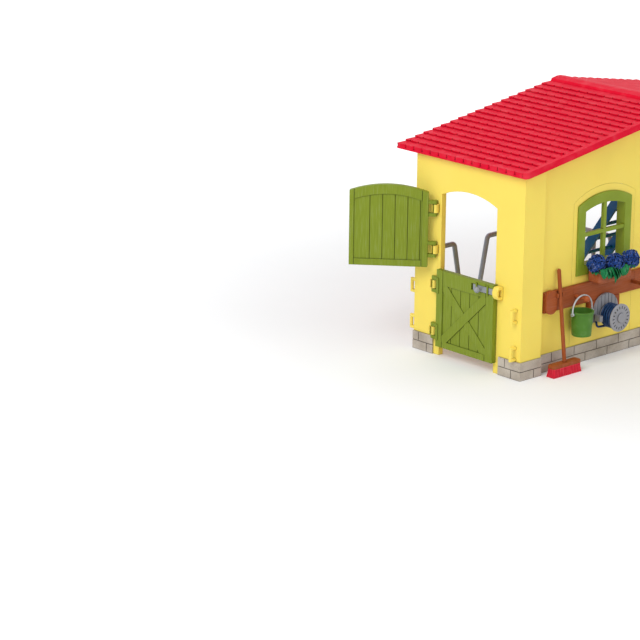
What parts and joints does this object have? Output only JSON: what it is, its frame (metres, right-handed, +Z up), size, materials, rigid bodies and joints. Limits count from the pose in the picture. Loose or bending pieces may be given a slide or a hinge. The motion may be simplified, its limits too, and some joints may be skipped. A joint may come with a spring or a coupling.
{
  "type": "toy barn",
  "caption": "Play-set barn with tiled gable roof, stable doors on clip hinges, slide bolts, window, hose reel, bucket, broom, flower box, feed fence and ladder.",
  "frame": {"origin": "on the floor at the front left outer corner of the walls", "axes": "+X along the front wall to the right, +Y from the front into the barn, +Z up"},
  "size_m": [0.4042, 0.1584, 0.1894],
  "materials": {
    "wall_yellow": "fine satin moulding",
    "plinth_stone": "matt, brick relief",
    "roof_red": "satin",
    "door_green": "satin",
    "window_green": "satin",
    "wood_brown": "matt, wood tint",
    "bolt_grey": "satin",
    "reel_grey": "satin",
    "hose_blue": "satin",
    "flower_blue": "matt",
    "leaf_green": "matt",
    "planter_brown": "matt",
    "bucket_green": "satin",
    "bail_silver": "satin",
    "handle_brown": "matt",
    "bristle_red": "matt",
    "fence_dark": "satin",
    "divider_grey": "satin",
    "ladder_blue": "satin"
  },
  "bodies": {
    "barn": {"arch_panel_left": "wall_yellow", "arch_panel_right": "wall_yellow", "bolt_keeper_left": "wall_yellow", "bolt_keeper_right": "wall_yellow", "centre_post": "wall_yellow", "feed_fence": "fence_dark", "front_wall_left": "wall_yellow", "front_wall_right": "wall_yellow", "plinth_centre": "plinth_stone", "plinth_corner_left": "plinth_stone", "plinth_corner_right": "plinth_stone", "plinth_front_left": "plinth_stone", "plinth_front_right": "plinth_stone", "plinth_side_left": "plinth_stone", "plinth_side_right": "plinth_stone", "rail_inner_end_left": "wood_brown", "rail_inner_end_right": "wood_brown", "rail_middle_left": "wood_brown", "rail_middle_right": "wood_brown", "rail_outer_end_left": "wood_brown", "rail_outer_end_right": "wood_brown", "reel_cap": "reel_grey", "reel_plate": "reel_grey", "ridge_cap": "roof_red", "roof_panel_left": "roof_red", "roof_panel_right": "roof_red", "side_wall_left": "wall_yellow", "side_wall_right": "wall_yellow", "stall_divider": "divider_grey", "window_frame_left": "window_green", "window_frame_right": "window_green"},
    "lower_leaf_left": {"lower_leaf_left": "door_green"},
    "upper_leaf_left": {"upper_leaf_left": "door_green"},
    "lower_leaf_right": {"lower_leaf_right": "door_green"},
    "upper_leaf_right": {"upper_leaf_right": "door_green"},
    "bolt_left": {"door_bolt_left": "bolt_grey"},
    "bolt_right": {"door_bolt_right": "bolt_grey"},
    "reel_rotor": {"reel_drum": "reel_grey", "reel_disc": "reel_grey", "garden_hose": "hose_blue", "hose_fitting": "reel_grey"},
    "bail": {"bucket_bail": "bail_silver"},
    "bucket": {"bucket_shell": "bucket_green"},
    "planter": {"flower_box": "planter_brown", "flower_leaves": "leaf_green", "flower_head_1": "flower_blue", "flower_head_2": "flower_blue", "flower_head_3": "flower_blue"},
    "broom": {"broom_handle": "handle_brown", "broom_head": "handle_brown", "broom_bristles": "bristle_red"},
    "ladder": {"ladder": "ladder_blue"}
  },
  "joints": [
    {"name": "upper_leaf_left_swing", "type": "hinge", "parent": "barn", "child": "upper_leaf_left", "pos_m": [-0.0024, 0.0906, 0.0998], "axis": [0, 0, -1], "range_deg": [-138, 22]},
    {"name": "lower_leaf_left_swing", "type": "hinge", "parent": "barn", "child": "lower_leaf_left", "pos_m": [-0.0024, 0.0906, 0.0382], "axis": [0, 0, -1], "range_deg": [0, 150]},
    {"name": "upper_leaf_right_swing", "type": "hinge", "parent": "barn", "child": "upper_leaf_right", "pos_m": [0.3484, 0.0906, 0.0998], "axis": [0, 0, 1], "range_deg": [0, 160]},
    {"name": "lower_leaf_right_swing", "type": "hinge", "parent": "barn", "child": "lower_leaf_right", "pos_m": [0.3484, 0.0906, 0.0382], "axis": [0, 0, 1], "range_deg": [0, 150]},
    {"name": "bolt_left_slide", "type": "slide", "parent": "lower_leaf_left", "child": "bolt_left", "axis": [0, -1, 0], "range_m": [-0.0018, 0.004]},
    {"name": "bolt_right_slide", "type": "slide", "parent": "lower_leaf_right", "child": "bolt_right", "axis": [0, -1, 0], "range_m": [-0.0018, 0.004]},
    {"name": "reel_spin", "type": "hinge", "parent": "barn", "child": "reel_rotor", "pos_m": [0.092, -0.008, 0.0352], "axis": [0, -1, 0], "continuous": true},
    {"name": "bucket_swing", "type": "hinge", "parent": "barn", "child": "bail", "pos_m": [0.06, -0.006, 0.0546], "axis": [0, -1, 0], "range_deg": [-10, 10]},
    {"name": "bucket_tip", "type": "hinge", "parent": "bail", "child": "bucket", "pos_m": [0.06, -0.006, 0.04325], "axis": [-1, 0, 0], "range_deg": [0, 25]},
    {"name": "planter_lift", "type": "slide", "parent": "barn", "child": "planter", "axis": [0, 0, 1], "range_m": [0, 0.02]},
    {"name": "broom_lift", "type": "slide", "parent": "barn", "child": "broom", "axis": [0, 0, 1], "range_m": [0, 0.014]},
    {"name": "ladder_tilt", "type": "hinge", "parent": "barn", "child": "ladder", "pos_m": [0.133, 0.1004, 0], "axis": [-1, 0, 0], "range_deg": [0, 28]}
  ]
}
